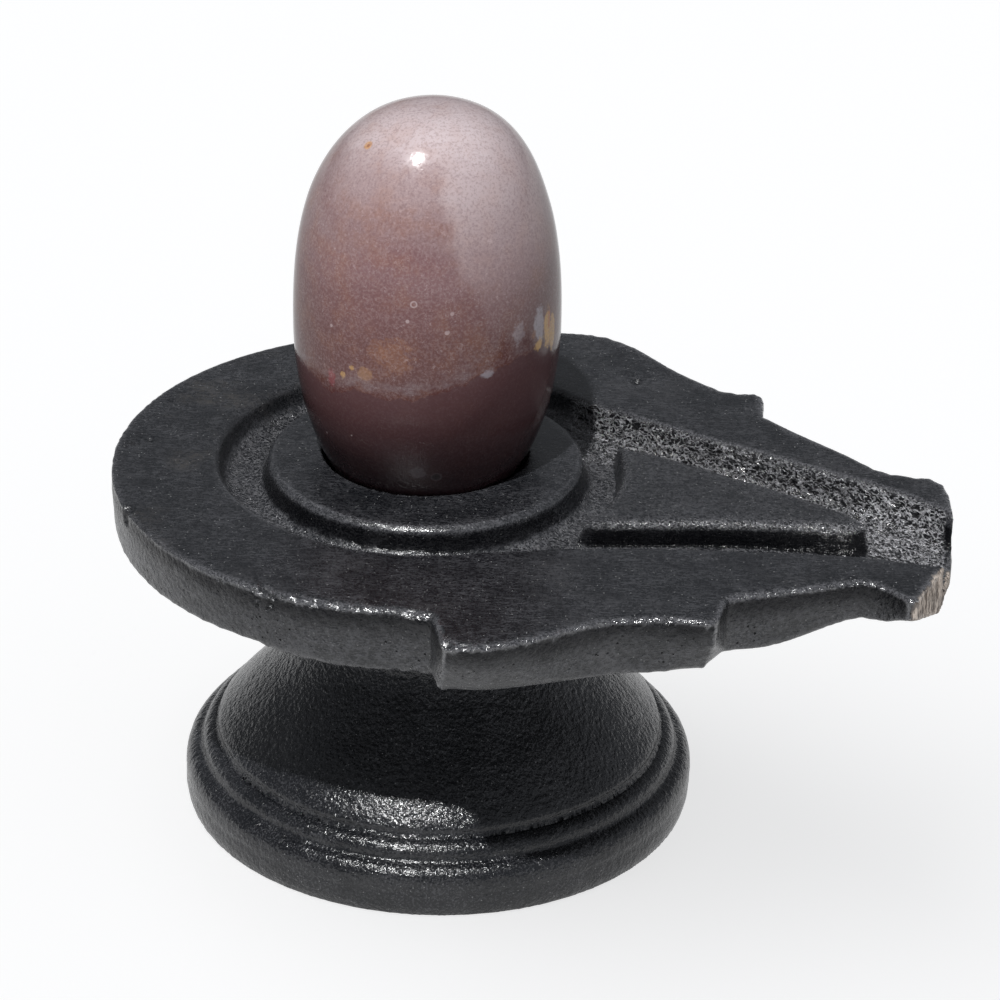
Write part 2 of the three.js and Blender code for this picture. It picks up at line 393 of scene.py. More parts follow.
def mouldedFoot(p):
    # points of the foot's moulding slide on to its drawn section
    x, y, z = p.T
    turn = np.arctan2(y, x)
    wander = np.sin(3 * turn + 0.8) + 0.7 * np.sin(5 * turn + z / 9)  # the foot is not quite round
    size = 1 + 0.35 * wander * ease(z, 2, 30) / 73.4
    r = np.hypot(x, y) / size
    here = np.flatnonzero((z > 8) & (z < 28) & (r > 69.4))
    at = np.stack([r[here], z[here]], 1)
    best = np.full(len(here), 1e9)
    target = at.copy()
    for a, b in zip(moulding[:-1], moulding[1:]):
        t = np.clip(((at - a) @ (b - a)) / ((b - a) @ (b - a)), 0, 1)
        foot = a + t[:, None] * (b - a)
        away = ((at - foot) ** 2).sum(1)
        nearer = away < best
        best[nearer] = away[nearer]
        target[nearer] = foot[nearer]
    hold = ease(z[here], 8, 10) * (1 - ease(z[here], 26.4, 27.8))
    target = at + (target - at) * hold[:, None]
    p = p.copy()
    p[here, 0] = target[:, 0] * size[here] * np.cos(turn[here])
    p[here, 1] = target[:, 0] * size[here] * np.sin(turn[here])
    p[here, 2] = target[:, 1]
    return p


def sideMask(p, n):
    # the plate's upright rim
    return ease(p[:, 2], 97, 100) * (1 - recessMask(p)) * ease(1 - np.abs(n[:, 2]), 0.35, 0.8)


def handWork(p, n):
    # slight waves left by hand work on the rim, the plate's top and the stem
    z = p[:, 2]
    top = ease(n[:, 2], 0.8, 0.97) * (z > 116)
    side = sideMask(p, n)
    stem = (1 - ease(z, 97, 100)) * ease(z, 1, 3)
    lift = grain(p, 21, 1.3) * (0.18 * side + 0.10 * top + 0.16 * stem) + 0.12 * (side + stem)
    lift += grain(p, (7, 7, 5), 7.7) * (0.10 * side + 0.03 * top + 0.08 * stem)
    lift += grain(p, (2.6, 2.6, 1.9), 3.1) * (0.10 * side + 0.07 * stem)
    return lift


def carveChips(lift, p, edge):
    # chips along the top edge, most of them on the wings' near side
    x, y, z = p.T
    awayFromBoss = ease(distance(p, carvedBase["bossCentre"]), 40, 60)
    rim = edge * ease(z, 97, 100) * (1 - recessMask(p)) * ease(z, 116, 118) * awayFromBoss
    i = rim > 0.02
    nibble = ease(grain(p[i], 5.6, 9.2), 0.12, 0.6) + 0.7 * ease(grain(p[i], 1.9, 5.5), 0.1, 0.6)
    exposed = ease(-y[i], 20, 42) * (0.15 + 0.85 * ease(x[i], -40, 10)) * (1 - ease(x[i], 150, 160))
    lift[i] -= rim[i] * carvedBase["chipDepth"] * nibble * exposed
    cluster = 1 - ease(distance(p, carvedBase["chipCluster"]), 2.5, 6.5)
    i = (cluster > 0.01) & (z > 114)
    lift[i] -= 0.9 * cluster[i] * ease(grain(p[i], 1.5, 3.3), -0.1, 0.5)


def knockDents(lift, p):
    # knocks in the plate's top and in its left edge
    for x, y, radius, depth in carvedBase["dents"]:
        away = distance(p, (x, y))
        lift -= depth * (p[:, 2] > 115) * (1 - ease(away, 0.25 * radius, radius))


def carveRecess(lift, p):
    # chisel marks of the far arm and the mouth, and a calmer floor in the rest
    x, y, z = p.T
    roughCut = roughCutMask(p)
    i = roughCut > 0.01
    inMouth = ease(x[i], 130, 142)
    marks = (1 - inMouth) * grain(turnedFrame(p[i], -15), (3.0, 1.8, 1.8), 2.2)
    marks += inMouth * 1.2 * grain(turnedFrame(p[i], -31), (6.0, 1.7, 1.8), 6.6)
    marks += 0.6 * grain(p[i], (1.5, 1.2, 1.2), 8.1)
    lift[i] += roughCut[i] * (carvedBase["chiselDepth"] * marks - 0.1)
    calmFloor = recessMask(p) * (1 - roughCut) * ease(carvedBase["plateTop"] - z, 2, 6)
    i = calmFloor > 0.01
    lift[i] += calmFloor[i] * (0.16 * grain(p[i], 3.0, 6.3) + 0.12 * grain(p[i], 1.5, 2.9) - 0.03)


def carveBreak(lift, p, n):
    # splintered face of the broken corner
    broken = breakMask(p, n)
    i = broken > 0.01
    splinter = grain(p[i], (1.3, 1.3, 9.0), 1.9) + 0.5 * grain(p[i], (0.8, 0.8, 2.4), 4.4)
    lift[i] += broken[i] * (carvedBase["splinterDepth"] * splinter - 0.2)


def handCarving(p, n, edge):
    # how far each point is raised, in millimetres
    lift = handWork(p, n)
    carveChips(lift, p, edge)
    knockDents(lift, p)
    carveRecess(lift, p)
    carveBreak(lift, p, n)
    lift[p[:, 2] < carvedBase["flatFoot"]] = 0.0
    return np.minimum(lift, carvedBase["highestRidge"])


def wearAndEdgeHighlightMask(p, edge):
    # 1 where a true edge is rubbed pale: partly real wear, partly a painted highlight
    x, y, z = p.T
    hidden = (np.abs(y - np.interp(x, *nearBank)) < 3.2) & (x > 45)
    upright = 0.45 * ease(z, 96.5, 98) * ease(-y, 10, 40)
    worn = edge ** 1.5 * np.maximum(ease(z, 108, 117), upright) * ~hidden
    worn *= 0.35 + 0.65 * ease(x, -75, -35)
    worn *= 1 - 0.7 * (distance(p, carvedBase["ringCentre"]) < 73) * (1 - ease(-y, 22, 45))
    return worn


def shapeBase(mesh):
    p = pointsOf(mesh)
    edges = edgesOf(mesh)
    counts = np.maximum(np.bincount(edges.ravel(), minlength=len(p)), 1)
    p, bend = relaxed(p, normalsOf(mesh), edges, counts)
    p = closerSocket(mouldedFoot(smoothed(p, edges, counts, 12)))
    p = smoothed(p, edges, counts, 3)
    depth = sideways[0] * p[:, 1] - sideways[1] * p[:, 0]
    farRim = ease(depth, -30, 0) * ease(p[:, 2], 95, 98) * (1 - recessMask(p))
    p = smoothed(p, edges, counts, 30, np.maximum(farRim, 0.35 * ease(p[:, 0], 152, 158)))
    movePoints(mesh, p)
    n = normalsOf(mesh)
    print("base relaxed,", len(p), "points")
    convex = np.clip(-bend, 0.0, 1.0)  # where the surface turns outwards
    rounds = int(1.6 / (carvedBase["evenMesh"] * 1000)) + 1
    for _ in range(rounds):
        convex = 0.5 * convex + 0.5 * neighbourMean(convex, edges, counts)
    edge = ease(convex, 0.008, 0.05)
    p = p + n * handCarving(p, n, edge)[:, None]
    movePoints(mesh, insideBox(p))
    # rubbed edges: partly real wear, partly a painted highlight
    storeMask(mesh, "wear", wearAndEdgeHighlightMask(p, edge))
    print("base carved")


def thinned(obj, name):
    faces = sum(len(q.vertices) - 2 for q in obj.data.polygons)
    thin = obj.modifiers.new("thinned", "DECIMATE")
    thin.ratio = min(1.0, carvedBase["triangles"] / faces)
    piece = finished(obj, name)
    piece.data.polygons.foreach_set("use_smooth", [True] * len(piece.data.polygons))
    print(name, "has", len(piece.data.polygons), "faces, from", faces)
    return piece


def storeMasks(mesh):
    # where each kind of surface lies, for the material
    p, n = pointsOf(mesh), normalsOf(mesh)
    x, y, z = p.T
    recess, roughCut = recessMask(p), roughCutMask(p)
    underPlate = carvedBase["plateTop"] - z
    underIsland = carvedBase["islandTop"] - z

    # the island's bevelled near edge
    nearEdge = (x > 56) & (x < 137) & (y < np.interp(x, *islandFar) - 3)
    sloping = ease(-n[:, 1], 0.25, 0.5) * ease(n[:, 2], 0.25, 0.45)
    bevel = recess * nearEdge * sloping * ease(3.0 - underIsland, 0, 0.9)
    # the rough cut and, at half strength, the island's bevel; the material paints their ridges pale as
    # glints and their hollows dark as shade
    storeMask(mesh, "carve", np.maximum(roughCut, 0.5 * bevel))
    storeMask(mesh, "groove", recess * ease(underPlate, 1.5, 4.0) * ease(n[:, 2], 0.45, 0.8))
    storeMask(mesh, "side", sideMask(p, n))
    scar = 1 - ease(np.linalg.norm(p - carvedBase["farScar"], axis=1), 1.5, 4.0)
    storeMask(mesh, "bare", np.maximum(breakMask(p, n), 0.6 * scar))

    # walls facing the near side, painted near black as shade: the island's near wall and the boss's side
    # wall
    awayWall = recess * (1 - roughCut) * ease(-n[:, 1], 0.2, 0.45)
    onBoss = 0.8 * ease(0.7 - n[:, 2], 0.0, 0.25) * (distance(p, carvedBase["bossCentre"]) < 56)
    onIsland = ease(x, 50, 58) * ease(underIsland, 1.6, 2.6) * (1 - 0.9 * bevel)
    storeMask(mesh, "unlit", awayWall * np.maximum(onIsland, onBoss * ease(underPlate, 2.0, 3.2)))


def makeBase():
    even = evenBase()
    shapeBase(even.data)
    piece = thinned(even, "carved_base")
    movePoints(piece.data, insideBox(pointsOf(piece.data)))
    storeMasks(piece.data)
    return piece


base = makeBase()
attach(base, "root")
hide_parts("yoni_base")


def skinPlace(turn, z, dent=0.0):
    # places on the river stone's slightly uneven skin, at turns in radians and heights
    s = riverStone
    aboveGirth = z - s["girthHeight"]
    uneven = 1 + 0.006 * np.sin(2 * turn + 0.6) + 0.004 * np.cos(3 * turn + aboveGirth / 30)
    r = np.maximum(stoneReach(z) * uneven - 0.05 - dent, 0)
    lean = ease(aboveGirth, 40, s["above"])
    x = s["centre"][0] + r * np.cos(turn) + s["topLean"][0] * lean
    y = s["centre"][1] + r * np.sin(turn) + s["topLean"][1] * lean
    return x, y, z


def makeStone():
    s = riverStone
    bm = bmesh.new()
    bmesh.ops.create_icosphere(bm, subdivisions=s["subdivisions"], radius=1.0)
    ball = np.array([tuple(vertex.co) for vertex in bm.verts])
    up = np.clip(ball[:, 2], -1, 1)
    height = s["girthHeight"] + up * np.where(up >= 0, s["above"], s["below"])
    wear = 0.05 * grain(ball, 1 / 4.5)  # a river-worn skin is never quite true
    x, y, z = skinPlace(np.arctan2(ball[:, 1], ball[:, 0]), height, wear)
    places = np.stack([x, y, np.maximum(z, s["seatHeight"])], 1) / 1000
    for vertex, place in zip(bm.verts, places.tolist()):
        vertex.co = place
    bmesh.ops.recalc_face_normals(bm, faces=bm.faces)
    mesh = bpy.data.meshes.new("lingam_egg")
    bm.to_mesh(mesh)
    bm.free()
    mesh.polygons.foreach_set("use_smooth", [True] * len(mesh.polygons))
    piece = bpy.data.objects.new("lingam_egg", mesh)
    scene.collection.objects.link(piece)
    return piece


stone = makeStone()
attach(stone, "root")
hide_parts("lingam_stone")
print("river stone made")


class Recipe:
    # short calls for building one material's nodes; sizes in millimetres
    def __init__(self, name):
        self.material = bpy.data.materials.new(name)
        self.material.use_nodes = True
        self.nodes = self.material.node_tree.nodes
        self.links = self.material.node_tree.links
        self.shader = self.nodes["Principled BSDF"]
        self.place = self.nodes.new("ShaderNodeTexCoord").outputs["Object"]
        split = self.nodes.new("ShaderNodeSeparateXYZ")
        self.links.new(self.place, split.inputs["Vector"])
        self.x, self.y, self.z = split.outputs

    def join(self, value, socket):
        if isinstance(value, bpy.types.NodeSocket):
            self.links.new(value, socket)
        else:
            socket.default_value = value

    def use(self, value, key):
        self.join(value, self.shader.inputs[key])

    def stretched(self, turn=0.0, stretch=(1, 1, 1), vector=None):
        # X runs along the turn, in degrees; a larger stretch draws the pattern out
        node = self.nodes.new("ShaderNodeMapping")
        node.vector_type = "TEXTURE"
        node.inputs["Rotation"].default_value = (0, 0, math.radians(turn))
        node.inputs["Scale"].default_value = stretch
        self.links.new(vector or self.place, node.inputs["Vector"])
        return node.outputs["Vector"]

    def stirred(self, size, reach):
        # places pushed about by noise
        swirl = self.nodes.new("ShaderNodeTexNoise")
        swirl.inputs["Scale"].default_value = 1000.0 / size
        self.links.new(self.place, swirl.inputs["Vector"])
        node = self.nodes.new("ShaderNodeVectorMath")
        node.operation = "MULTIPLY_ADD"
        self.links.new(swirl.outputs["Color"], node.inputs[0])
        node.inputs[1].default_value = (reach / 1000.0,) * 3
        self.links.new(self.place, node.inputs[2])
        return node.outputs["Vector"]

    def noise(self, size, detail=3.0, roughness=0.55, vector=None):
        node = self.nodes.new("ShaderNodeTexNoise")
        self.links.new(vector or self.place, node.inputs["Vector"])
        node.inputs["Scale"].default_value = 1000.0 / size
        node.inputs["Detail"].default_value = detail
        node.inputs["Roughness"].default_value = roughness
        return node.outputs["Fac"]

    def dots(self, size, radius):
        # 1 in small round dots of this radius, one to a cell of this size
        node = self.nodes.new("ShaderNodeTexVoronoi")
        self.links.new(self.place, node.inputs["Vector"])
        node.inputs["Scale"].default_value = 1000.0 / size
        return self.spread(node.outputs["Distance"], 0.6 * radius / size, radius / size, 1.0, 0.0)

    def worms(self, size, width, vector=None):
        # 1 on thin winding ridges
        middle = self.math("SUBTRACT", self.noise(size, 2.0, 0.55, vector), 0.5)
        return self.spread(self.math("ABSOLUTE", middle, 0.0), 0.0, width, 1.0, 0.0)

    def facing(self):
        # 0 where the surface faces the viewer, 1 at its outline
        return self.nodes.new("ShaderNodeLayerWeight").outputs["Facing"]

    def mask(self, name):
        node = self.nodes.new("ShaderNodeAttribute")
        node.attribute_name = name
        return node.outputs["Fac"]

    def away(self, place, tall=1.0):
        # metres from a place given in millimetres, with Z shortened by this much
        vector = self.place
        for operation, numbers in (("SUBTRACT", [v / 1000.0 for v in place]), ("DIVIDE", (1, 1, tall))):
            node = self.nodes.new("ShaderNodeVectorMath")
            node.operation = operation
            self.links.new(vector, node.inputs[0])
            node.inputs[1].default_value = numbers
            vector = node.outputs["Vector"]
        node = self.nodes.new("ShaderNodeVectorMath")
        node.operation = "LENGTH"
        self.links.new(vector, node.inputs[0])
        return node.outputs["Value"]

    def spread(self, value, low, high, out0=0.0, out1=1.0):
        node = self.nodes.new("ShaderNodeMapRange")
        node.interpolation_type = "SMOOTHSTEP"
        self.join(value, node.inputs["Value"])
        for key, number in (("From Min", low), ("From Max", high), ("To Min", out0), ("To Max", out1)):
            self.join(number, node.inputs[key])
        return node.outputs["Result"]

    def math(self, kind, a, b):
        node = self.nodes.new("ShaderNodeMath")
        node.operation = kind
        self.join(a, node.inputs[0])
        self.join(b, node.inputs[1])
        return node.outputs["Value"]

    def times(self, *values):
        result = values[0]
        for value in values[1:]:
            result = self.math("MULTIPLY", result, value)
        return result

    def plus(self, *values):
        result = values[0]
        for value in values[1:]:
            result = self.math("ADD", result, value)
        return result

    def blend(self, amount, a, b):
        node = self.nodes.new("ShaderNodeMix")
        node.data_type = "RGBA"
        factor, first, second = node.inputs[0], node.inputs[6], node.inputs[7]  # the colour sockets
        self.join(amount, factor)
        self.join(a, first)
        self.join(b, second)
        return node.outputs[2]

    def ramp(self, value, stops):
        # colours along a value, as (value, colour) pairs; the range is the first to the last stop
        low, high = stops[0][0], stops[-1][0]
        node = self.nodes.new("ShaderNodeValToRGB")
        band = node.color_ramp
        band.interpolation = "EASE"
        for k, (at, colour) in enumerate(stops):
            spot = band.elements[k] if k < 2 else band.elements.new(1.0)
            spot.position = (at - low) / (high - low)
            spot.color = colour
        scaled = self.nodes.new("ShaderNodeMapRange")
        self.join(value, scaled.inputs["Value"])
        scaled.inputs["From Min"].default_value = low
        scaled.inputs["From Max"].default_value = high
        self.links.new(scaled.outputs["Result"], node.inputs["Fac"])
        return node.outputs["Color"]

    def relief(self, height):
        # surface normal from a height in millimetres
        node = self.nodes.new("ShaderNodeBump")
        node.inputs["Distance"].default_value = 0.001
        self.links.new(height, node.inputs["Height"])
        return node.outputs["Normal"]


blackStone = {
    "deep": (0.0040, 0.0046, 0.0060, 1.0),
    "worn": (0.0080, 0.0086, 0.0104, 1.0),
    "salt": (0.066, 0.067, 0.073, 1.0),
    "dust": (0.040, 0.040, 0.043, 1.0),
    "warmDust": (0.050, 0.045, 0.040, 1.0),
    # pale specks that stand in for tiny glints: painted highlights
    "glintSpeck": (0.24, 0.24, 0.24, 1.0),
    # the pale of rubbed edges: partly real wear, partly a painted highlight
    "edge": (0.10, 0.10, 0.108, 1.0),
    # ridge colours of the rough cut: lighter cut stone and painted glints, brighter in the mouth
    "armRidgeAndGlint": (0.25, 0.25, 0.262, 1.0),
    "mouthRidgeAndGlint": (0.48, 0.48, 0.50, 1.0),
    # near black as painted shade: in the cuts' hollows, on unlit walls, in pits and on the rim below its
    # edge
    "paintedShade": (0.0015, 0.0015, 0.0020, 1.0),
    "bareLight": (0.50, 0.43, 0.37, 1.0),
    "bareDark": (0.105, 0.082, 0.066, 1.0),
    "roughness": 0.31,
    "grainHeight": 0.11,  # millimetres, as the three below
    "brushHeight": 0.11,
    "handHeight": 0.55,
    "cutHeight": 0.36,
}


def blackStoneMaterial():
    c = blackStone
    r = Recipe("oiledBlackStone")
    names = ("wear", "carve", "groove", "side", "bare", "unlit")
    wear, carve, groove, side, bare, unlit = [r.mask(name) for name in names]
    stem = r.spread(r.z, 0.096, 0.101, 1.0, 0.0)
    fine = r.noise(0.7, 2.0, 0.65)
    brushed = r.noise(0.5, 2.0, 0.6, r.stretched(15, (5, 1, 1)))
    worked = r.noise(1.7, 2.0, 0.55, r.stirred(3.0, 1.2))
    inMouth = r.spread(r.x, 0.124, 0.142)
    cutTurn = r.stretched(-22, (1.7, 1, 1), r.stirred(2.2, 1.2))
    cuts = r.worms(1.2, 0.095, cutTurn)
    cuts = r.times(cuts, r.spread(r.noise(2.6, 3.0, 0.6), 0.34, 0.60, 0.40, 1.0))
    pits = r.times(r.dots(2.3, 0.45), r.spread(r.noise(9, 1.0), 0.46, 0.58), side)

    # cloudy black with pale grains and a little dust; painted glints on brush streaks, specks, rough-cut
    # ridges and rubbed edges, which are partly real wear; painted shade in the cuts, on unlit walls, in
    # pits and on the rim below its edge
    clouds = r.noise(15, 4.0)
    colour = r.blend(r.spread(clouds, 0.35, 0.68), c["deep"], c["worn"])
    # pale brush streaks on the top: partly marks in the stone, partly painted glints
    upper = r.times(r.spread(brushed, 0.525, 0.60), r.spread(stem, 0.0, 1.0, 0.62, 0.0))
    salt = r.math("MAXIMUM", r.times(r.spread(fine, 0.50, 0.64), 0.55), upper)
    colour = r.blend(r.times(salt, r.spread(clouds, 0.36, 0.62, 0.45, 1.0)), colour, c["salt"])
    dust = r.blend(r.spread(r.x, -0.050, -0.085), c["dust"], c["warmDust"])
    haze = r.times(r.spread(r.noise(26, 4.0, 0.65), 0.50, 0.72), r.spread(worked, 0.38, 0.62, 0.1, 0.8))
    # the stem under the plate keeps less dust, salt and specks, so it reads darker: painted shade
    haze = r.times(haze, r.spread(stem, 0.0, 1.0, 1.0, 0.4))
    colour = r.blend(haze, colour, dust)
    # pale mottling on the highs of the rim's worked relief: partly pale grain, partly painted highlights
    colour = r.blend(r.times(side, r.spread(worked, 0.50, 0.62), 0.28), colour, c["salt"])
    # pale ridges on the ring's upward-facing floor: partly strokes in the stone, partly painted glints
    colour = r.blend(r.times(cuts, groove, 0.42), colour, c["armRidgeAndGlint"])
    # pale specks standing in for tiny glints, fewer on the stem and the rim: painted highlights
    glintSpecks = r.times(r.dots(2.0, 0.25), r.plus(0.85, r.times(stem, -0.35), r.times(side, -0.45)))
    colour = r.blend(glintSpecks, colour, c["glintSpeck"])
    # rubbed edges lighter: partly real wear, partly a painted highlight
    colour = r.blend(r.times(wear, r.spread(fine, 0.36, 0.64, 0.1, 0.8)), colour, c["edge"])
    ridge = r.blend(inMouth, c["armRidgeAndGlint"], c["mouthRidgeAndGlint"])
    # the rough cut: hollows painted near black as shade, ridges pale as cut stone and painted glints
    colour = r.blend(r.times(carve, 0.85), colour, c["paintedShade"])
    colour = r.blend(r.times(cuts, carve), colour, ridge)
    level = r.plus(r.z, r.times(r.plus(clouds, -0.5), 0.012))
    # painted shade: the rim's side darker towards its top edge, near black on unlit walls and in pits
    shadeUnderEdge = r.times(side, r.spread(level, 0.1085, 0.1175, 0.0, 0.8), r.spread(wear, 0.0, 0.5, 1.0, 0.0))
    dark = r.math("MAXIMUM", unlit, r.math("MAXIMUM", shadeUnderEdge, pits))
    colour = r.blend(r.times(dark, 0.9), colour, c["paintedShade"])
    streaks = r.noise(1.1, 3.0, 0.62, r.stretched(stretch=(1, 1, 5)))
    bareStone = r.blend(r.spread(streaks, 0.40, 0.60), c["bareDark"], c["bareLight"])
    r.use(r.blend(bare, colour, bareStone), "Base Color")

    # oiled and satin, glossier where it is cut or worn, dull on the fresh break
    rough = r.spread(fine, 0.35, 0.65, c["roughness"] - 0.06, c["roughness"] + 0.06)
    rough = r.plus(rough, r.times(r.math("MAXIMUM", carve, groove), -0.08), r.times(wear, -0.08),
                   r.times(stem, -0.06), r.times(unlit, -0.08), r.times(bare, 0.40))
    r.use(rough, "Roughness")
    r.use(r.plus(0.55, r.times(dark, -0.42), r.times(stem, -0.07)), "Specular IOR Level")
    r.use(r.math("MAXIMUM", carve, r.times(wear, 0.8)), "Coat Weight")
    r.use(0.17, "Coat Roughness")

    # height in millimetres: grain, brush strokes, hand-worked stem and rim, ring, rough cut, break
    height = r.times(fine, c["grainHeight"])
    height = r.plus(height, r.times(brushed, r.spread(stem, 0.0, 1.0, c["brushHeight"], 0.0)))
    handWork = r.plus(r.times(stem, 0.95), r.times(side, 1.35), r.times(groove, 0.9))
    height = r.plus(height, r.times(worked, handWork, c["handHeight"]))
    height = r.plus(height, r.times(pits, -0.3))
    cutHeight = r.math("MAXIMUM", r.times(carve, c["cutHeight"]), r.times(groove, 0.10))
    height = r.plus(height, r.times(cuts, cutHeight))
    height = r.plus(height, r.times(streaks, bare, 1.3))
    normal = r.relief(height)
    r.use(normal, "Normal")
    r.use(normal, "Coat Normal")
    return r.material


mauveStone = {
    "bands": [  # height in metres, colour of the rosy body, lighter upwards partly as the stone's tone and partly as painted light from above
        (0.160, (0.149, 0.054, 0.048, 1.0)),
        (0.172, (0.160, 0.061, 0.057, 1.0)),
        (0.186, (0.196, 0.088, 0.088, 1.0)),
        (0.199, (0.244, 0.133, 0.138, 1.0)),
        (0.210, (0.295, 0.193, 0.196, 1.0)),
        (0.221, (0.383, 0.284, 0.287, 1.0)),
        (0.234, (0.611, 0.518, 0.528, 1.0)),
    ],
    "darkEdge": [  # x, height of the dark foot's edge, millimetres
        (-40, 160), (-30.8, 158.6), (-25.9, 155.4), (-14.9, 157.4), (-2, 156.8), (7, 159),
        (15.2, 161.2), (23, 165.2), (29.9, 167.2), (33.7, 168), (36, 163.4), (40, 162),
    ],
    "lilac": (0.653, 0.571, 0.585, 1.0),
    "veil": (0.248, 0.170, 0.177, 1.0),
    "plum": (0.149, 0.074, 0.078, 1.0),
    "deepPlum": (0.031, 0.017, 0.023, 1.0),
    "quartz": (0.625, 0.497, 0.497, 1.0),
    "rust": (0.341, 0.149, 0.078, 1.0),
    "gold": (0.852, 0.511, 0.170, 1.0),
    "orange": (0.653, 0.241, 0.085, 1.0),
    "ochre": (0.625, 0.341, 0.142, 1.0),
    "crimson": (0.369, 0.064, 0.078, 1.0),
    "ash": (0.568, 0.532, 0.582, 1.0),
    "shade": (0.028, 0.020, 0.023, 1.0),
    "marks": [  # (bearing in degrees, height), radius, how tall, raggedness, then colour and strength
        ((-128.5, 229.5), 1.8, 1.0, 0.6, "ochre", 0.85),
        ((-128, 229.5), 0.8, 1.0, 0.2, "rust", 0.9),
        ((-81, 183.5), 0.75, 1.0, 0.1, "quartz", 0.65),
        ((-62, 186), 0.75, 1.0, 0.3, "quartz", 0.50),
        ((-64, 180), 0.9, 1.0, 0.9, "quartz", 0.65),
        ((-42.5, 206.5), 0.9, 1.0, 0.6, "quartz", 0.45),
        ((-117, 177), 0.65, 1.0, 0.1, "quartz", 0.6),
        ((-126, 137), 0.4, 1.0, 0.0, "quartz", 0.9),
        ((-108.5, 140.5), 0.35, 1.0, 0.0, "quartz", 0.9),
        ((-86, 171.5), 6.0, 1.2, 6.0, "rust", 0.50),
        ((-93, 173), 4.5, 1.0, 5.0, "rust", 0.35),
        ((-105.5, 165), 1.7, 0.8, 2.2, "gold", 0.55),
        ((-110.5, 162), 1.2, 1.2, 1.6, "gold", 0.60),
        ((-100, 164.5), 3.5, 0.7, 4.0, "ochre", 0.35),
        ((-116.5, 159.5), 2.0, 1.6, 1.8, "crimson", 0.60),
        ((-46, 164.5), 2.6, 0.6, 2.4, "ash", 0.60),
        ((-30, 175.5), 2.8, 1.4, 3.0, "ash", 0.40),
        # the next seven, near the outline on the spout side, are partly the stone's marks and partly
        # painted reflections
        ((-17, 175), 3.0, 2.5, 2.2, "ash", 0.80),
        ((-21, 172.5), 1.3, 1.4, 1.4, "rust", 0.7),
        ((-17.5, 168.5), 2.3, 1.1, 1.8, "gold", 0.85),
        ((-10.5, 172.5), 2.5, 3.0, 2.2, "gold", 0.95),
        ((-5.5, 170), 2.4, 2.8, 1.8, "gold", 0.85),
        ((-9, 175), 0.9, 4.6, 1.0, "orange", 0.85),
        ((-13.5, 169.5), 0.8, 3.2, 0.9, "shade", 0.50),
        ((-76.5, 129.5), 3.0, 0.9, 3.0, "ash", 0.14),
        ((-67, 128), 2.2, 1.0, 0.4, "ash", 0.14),
        ((-67, 128), 1.7, 1.0, 0.3, "shade", 0.8),
    ],
    "ring": ((-78.5, 189), 0.9, 0.36),  # place, radius and width of a small pale ring
    "roughness": 0.15,
    # a coat tint that darkens the skin towards its outline: a painted shade
    "outlineShadeTint": (0.75, 0.745, 0.745, 1.0),
    "skinBend": 1.06,  # how much the polished skin bends light
}


def darkEdgeHeight(r, points):
    # a curve from x to the height of the dark foot's edge, in metres
    low, high = 150.0, 170.0
    reach = 40.0  # the curve runs from -reach to reach in x
    node = r.nodes.new("ShaderNodeFloatCurve")
    line = node.mapping.curves[0]
    for k, (x, height) in enumerate(points):
        at = ((x + reach) / (2 * reach), (height - low) / (high - low))
        if k in (0, len(points) - 1):
            line.points[min(k, 1)].location = at
        else:
            line.points.new(*at)
    node.mapping.update()
    r.links.new(r.plus(r.times(r.x, 500 / reach), 0.5), node.inputs["Value"])
    return r.plus(r.times(node.outputs["Value"], (high - low) / 1000), low / 1000)


def bandedBody(r, c):
    # rosy bands from foot to crown, lighter upwards partly as the stone's tone and partly as painted light
    # from above, and a greyer bank with a slanting edge on the spout side
    drift = r.times(r.plus(r.noise(20, 5.0, 0.6), -0.5), 0.020)
    body = r.ramp(r.plus(r.z, drift), c["bands"])
    blush = r.noise(9, 5.0, 0.65)
    body = r.blend(r.spread(blush, 0.40, 0.75, 0.0, 0.35), body, c["rust"])
    slant = r.plus(r.x, r.times(r.z, 0.45), r.times(drift, 0.7))
    bank = r.times(r.spread(slant, 0.1025, 0.1070), r.spread(r.z, 0.178, 0.222, 0.06, 0.47))
    return r.blend(bank, body, c["lilac"])


def plumFoot(r, c, body):
    # a dark plum foot under a ragged, veiled edge, partly the stone's own colour and partly a painted
    # reflection of the dark base; gives the colour and where the foot is
    fringe = r.times(r.plus(r.noise(7, 7.0, 0.65), -0.5), 0.010)
    above = r.math("SUBTRACT", r.plus(r.z, fringe), darkEdgeHeight(r, c["darkEdge"]))
    streaky = r.noise(4.0, 6.0, 0.7, r.stretched(stretch=(2.2, 2.2, 1)))
    veil = r.times(r.spread(above, 0.0, 0.0018), r.spread(above, 0.0020, 0.0105, 1.0, 0.0))
    body = r.blend(r.times(veil, r.spread(streaky, 0.42, 0.68, 0.0, 0.8)), body, c["veil"])
    lower = r.spread(above, -0.0004, 0.0003, 1.0, 0.0)
    # the foot darkens towards the bottom: partly the stone's colour, partly a painted reflection of the
    # dark base
    plum = r.blend(r.spread(r.z, 0.118, 0.158), c["deepPlum"], c["plum"])
    return r.blend(r.times(lower, r.spread(streaky, 0.3, 0.7, 0.97, 0.86)), body, plum), lower


def skinMarks(r, c, body):
    # single spots and patches on the skin, each with a wobbly edge, and one small ring; some near the
    # outline are partly painted reflections
    wobble = r.plus(r.noise(2.6, 5.0, 0.7), -0.5)
    for (bearing, height), radius, tall, ragged, colour, strength in c["marks"]:
        place = skinPlace(math.radians(bearing), height)
        reach = r.plus(r.away(place, tall), r.times(wobble, 0.002 * ragged))
        body = r.blend(r.spread(reach, 0.0006 * radius, 0.001 * radius, strength, 0.0), body, c[colour])
    (bearing, height), radius, width = c["ring"]
    place = skinPlace(math.radians(bearing), height)
    off = r.math("ABSOLUTE", r.plus(r.away(place), -0.001 * radius), 0.0)
    return r.blend(r.spread(off, 0.0003 * width, 0.001 * width, 0.6, 0.0), body, c["quartz"])


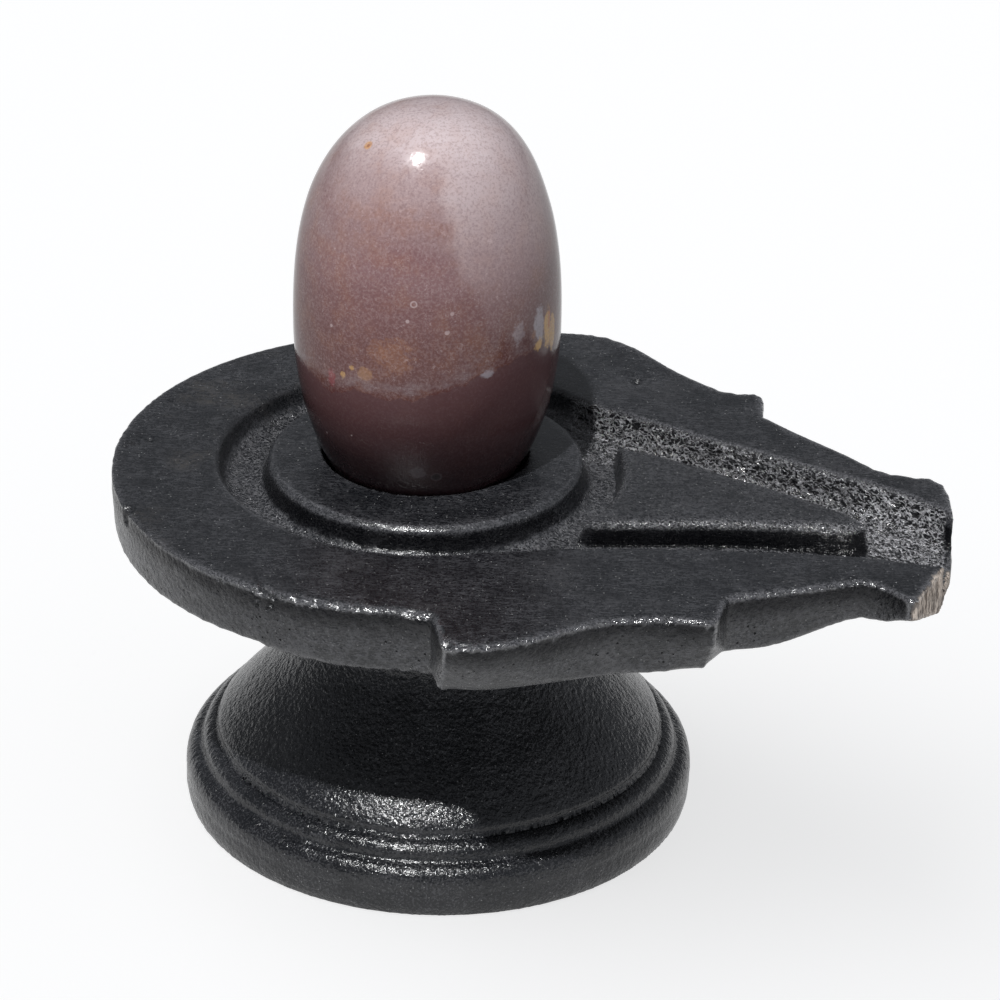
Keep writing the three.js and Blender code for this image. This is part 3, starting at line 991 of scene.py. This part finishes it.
def denseGrain(r, c, body, lower):
    # dense fine grain, lighter and darker, with threads and a few specks of quartz
    calm = r.spread(lower, 0.0, 1.0, 1.0, 0.22)
    light = r.times(r.spread(r.noise(0.85, 3.0, 0.7), 0.44, 0.62, 0.0, 0.17), calm)
    body = r.blend(light, body, c["quartz"])
    dark = r.times(r.spread(r.noise(0.90, 3.0, 0.7, r.stretched(40)), 0.46, 0.64, 0.0, 0.30), calm)
    body = r.blend(dark, body, c["plum"])
    threads = r.times(r.worms(2.4, 0.020), r.spread(r.noise(1.6, 1.0), 0.48, 0.60), calm)
    body = r.blend(r.times(threads, 0.32), body, c["quartz"])
    return r.blend(r.times(r.dots(2.3, 0.20), calm, 0.22), body, c["quartz"])


def mauveStoneMaterial():
    c = mauveStone
    r = Recipe("polishedRiverStone")
    body, lower = plumFoot(r, c, bandedBody(r, c))
    r.use(denseGrain(r, c, skinMarks(r, c, body), lower), "Base Color")

    # a polished skin whose gloss fades towards the outline, under a tinted coat that darkens the outline as
    # painted shade
    gloss = r.spread(r.facing(), 0.45, 0.95, 1.0, 0.12)
    rough = r.spread(r.noise(6, 4.0, 0.6), 0.3, 0.7, c["roughness"] - 0.02, c["roughness"] + 0.04)
    r.use(rough, "Roughness")
    r.use(r.times(gloss, 0.50), "Specular IOR Level")
    r.use(1.0, "Coat Weight")
    r.use(c["skinBend"], "Coat IOR")
    r.use(c["outlineShadeTint"], "Coat Tint")
    r.use(0.10, "Coat Roughness")
    scratches = r.spread(r.noise(0.5, 2.0, 0.5, r.stretched(25, (14, 14, 1))), 0.62, 0.72)
    ripple = r.plus(r.times(r.noise(1.1, 2.0), 0.024), r.times(r.noise(3.5, 2.0), 0.05))
    normal = r.relief(r.plus(ripple, r.times(scratches, -0.006)))
    r.use(normal, "Normal")
    r.use(normal, "Coat Normal")
    return r.material


base.data.materials.clear()
base.data.materials.append(blackStoneMaterial())
stone.data.materials.append(mauveStoneMaterial())
print("materials made")

lightOnly(keyLight, (base,), "underKeyLight")  # so that the floor keeps one soft shadow
lightOnly(crownLight, (stone,), "underCrownLight")
lightOnly(softLight, (floor,), "underSoftLight")
